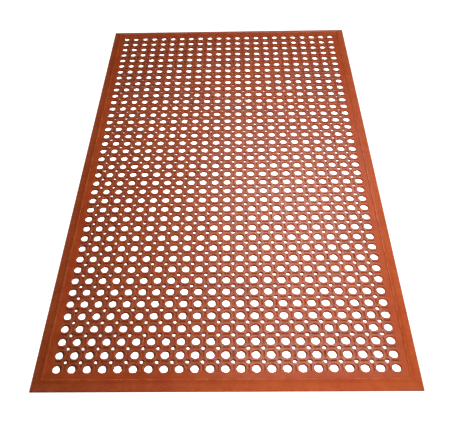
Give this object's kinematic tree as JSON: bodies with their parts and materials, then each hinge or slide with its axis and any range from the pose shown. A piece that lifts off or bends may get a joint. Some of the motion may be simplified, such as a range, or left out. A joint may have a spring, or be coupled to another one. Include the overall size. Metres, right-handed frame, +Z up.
{
  "type": "perforated rubber floor mat",
  "caption": "Rectangular one-piece rubber drainage and anti-fatigue floor mat with a square grid of round drain holes, a low rim and bevelled ramps on all four sides.",
  "frame": {"origin": "centre of the underside, on the floor", "axes": "+Z up from the floor, +Y along the length of the mat, +X across its width"},
  "size_m": [0.91, 1.5288, 0.0127],
  "materials": {
    "rubber_web": "matt terracotta red moulded rubber with a faint sheen",
    "rubber_border": "matt terracotta red moulded rubber with a faint sheen"
  },
  "bodies": {
    "root": {"web_lengthwise_ribs": "rubber_web", "web_crosswise_ribs": "rubber_web", "border_back": "rubber_border", "lip_back": "rubber_border", "ramp_back": "rubber_border", "border_left": "rubber_border", "lip_left": "rubber_border", "ramp_left": "rubber_border", "border_front": "rubber_border", "lip_front": "rubber_border", "ramp_front": "rubber_border", "border_right": "rubber_border", "lip_right": "rubber_border", "ramp_right": "rubber_border"}
  },
  "joints": []
}
